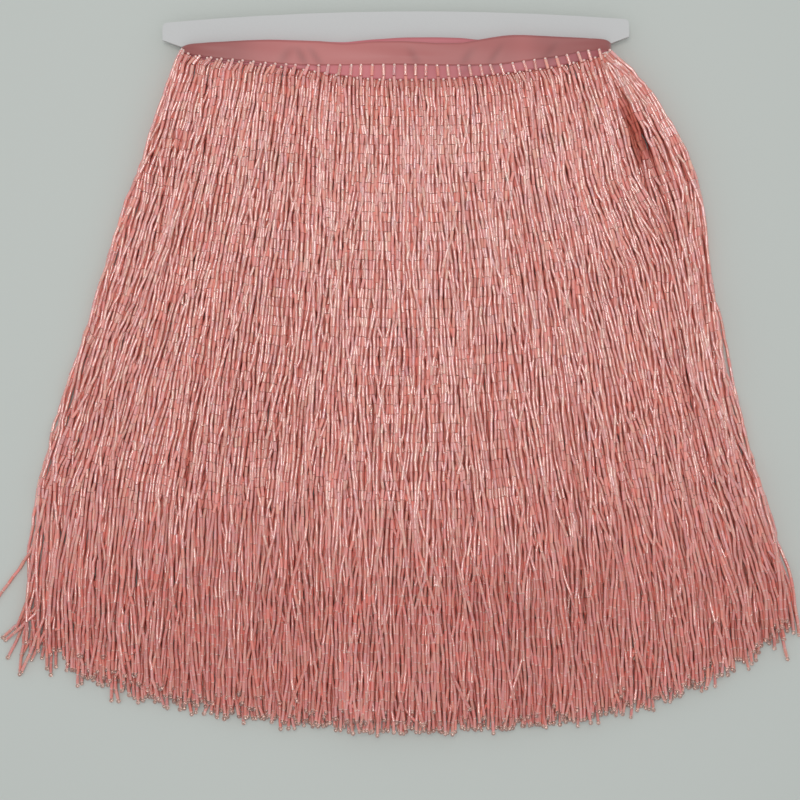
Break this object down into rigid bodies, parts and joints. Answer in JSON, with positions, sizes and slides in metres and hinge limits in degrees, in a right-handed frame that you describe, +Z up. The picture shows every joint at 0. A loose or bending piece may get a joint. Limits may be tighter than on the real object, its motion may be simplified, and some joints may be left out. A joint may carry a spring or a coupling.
{
  "type": "beaded fringe trim wound on a flat card",
  "caption": "Satin ribbon trim with long strands of pink glass tube beads, wound flat on a notched white card with the fringe fanned out below it.",
  "frame": {"origin": "middle of the bounding box's underside, on the surface that the trim lies on", "axes": "+X along the card to the right, +Y from the strands' tips to the card's top edge, +Z up from the surface"},
  "size_m": [0.3686, 0.3326, 0.0122],
  "materials": {
    "card": "smooth stiff white card",
    "satin": "dusky pink satin ribbon",
    "beads": "clear salmon pink glass with a rainbow coating"
  },
  "bodies": {
    "root": {"card": "card", "ribbon_winding": "satin", "fringe_front_outer": "beads", "fringe_front_second": "beads", "fringe_front_inner": "beads", "fringe_back_inner": "beads", "fringe_back_second": "beads", "fringe_back_outer": "beads"}
  },
  "joints": []
}
